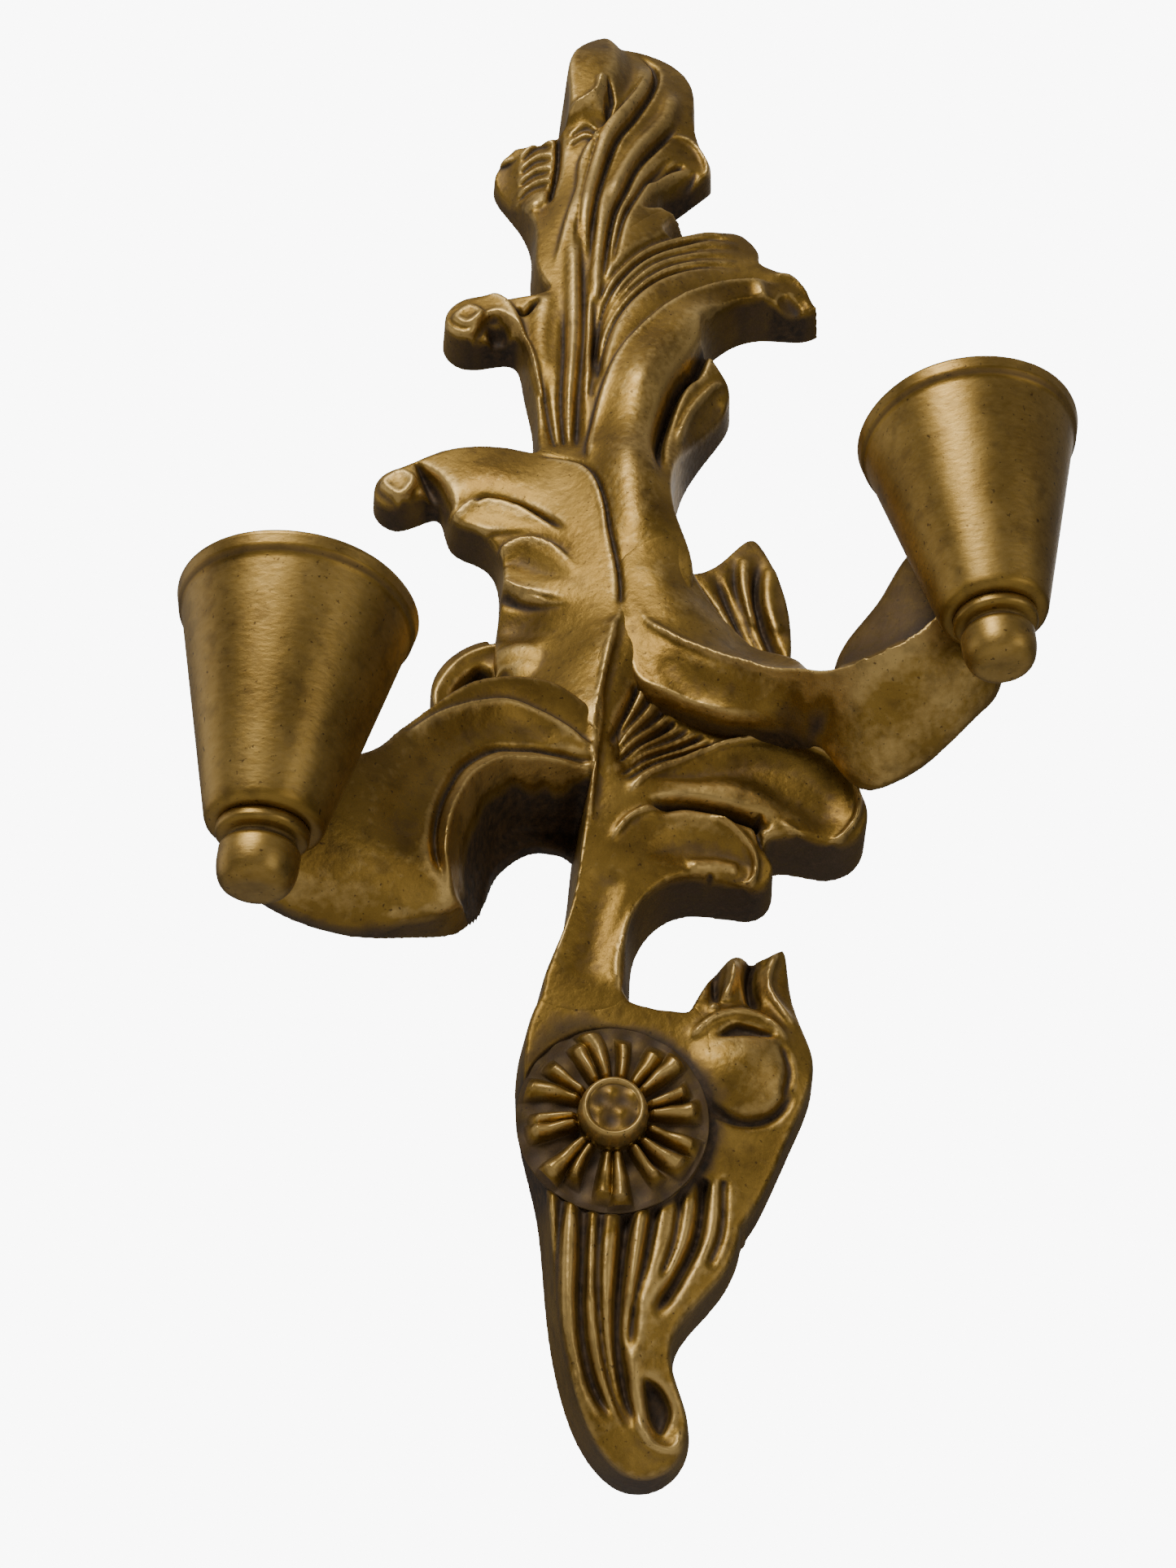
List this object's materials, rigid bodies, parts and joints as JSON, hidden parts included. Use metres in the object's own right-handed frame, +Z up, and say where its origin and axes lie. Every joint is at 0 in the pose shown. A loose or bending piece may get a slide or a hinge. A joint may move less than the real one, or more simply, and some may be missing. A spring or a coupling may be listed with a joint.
{
  "type": "wall sconce candle holder",
  "caption": "Carved rococo wall sconce with scrolling leaves, two curved arms with tapering candle cups, lift-out brass liners and a ring hanger behind.",
  "frame": {"origin": "on the flat back plane, behind the hub where the two arms meet the stem", "axes": "+Z up, +X to the viewer's right, the wall is the plane Y = 0 and the front faces -Y"},
  "size_m": [0.2431, 0.123, 0.571],
  "materials": {
    "carved_gilt": "antique gold paint over carved wood, dark brown glaze left in the crevices, brighter rubbed ridges",
    "turned_gilt": "antique gold paint over turned wood, faint lathe brushing and small pits",
    "brass_liner": "spun brass, lightly tarnished",
    "steel": "dull zinc plated steel",
    "dowel_wood": "raw beech dowel"
  },
  "bodies": {
    "sconce": {"crest_plume": "carved_gilt", "neck_volute": "carved_gilt", "right_c_scroll": "carved_gilt", "left_leaf": "carved_gilt", "left_rear_leaf": "carved_gilt", "right_rear_leaf": "carved_gilt", "stem_scroll": "carved_gilt", "tail_drape": "carved_gilt", "bud_leaf": "carved_gilt", "rosette": "carved_gilt", "rosette_pin": "steel", "left_arm": "carved_gilt", "right_arm": "carved_gilt", "left_cup": "turned_gilt", "right_cup": "turned_gilt", "left_cup_finial": "turned_gilt", "right_cup_finial": "turned_gilt", "cup_screws": "steel", "arm_dowels": "dowel_wood", "joint_dowels": "dowel_wood", "hanger_strap": "steel", "hanger_screws": "steel"},
    "left_liner": {"left_candle_liner": "brass_liner"},
    "right_liner": {"right_candle_liner": "brass_liner"},
    "ring": {"hanger_ring": "steel"}
  },
  "joints": [
    {"name": "left_liner_lift", "type": "slide", "parent": "sconce", "child": "left_liner", "axis": [0, 0, 1], "range_m": [0, 0.065]},
    {"name": "right_liner_lift", "type": "slide", "parent": "sconce", "child": "right_liner", "axis": [0, 0, 1], "range_m": [0, 0.065]},
    {"name": "hanger_ring_swing", "type": "hinge", "parent": "sconce", "child": "ring", "pos_m": [0.007, -0.00245, 0.288], "axis": [-1, 0, 0], "range_deg": [0, 175]}
  ]
}
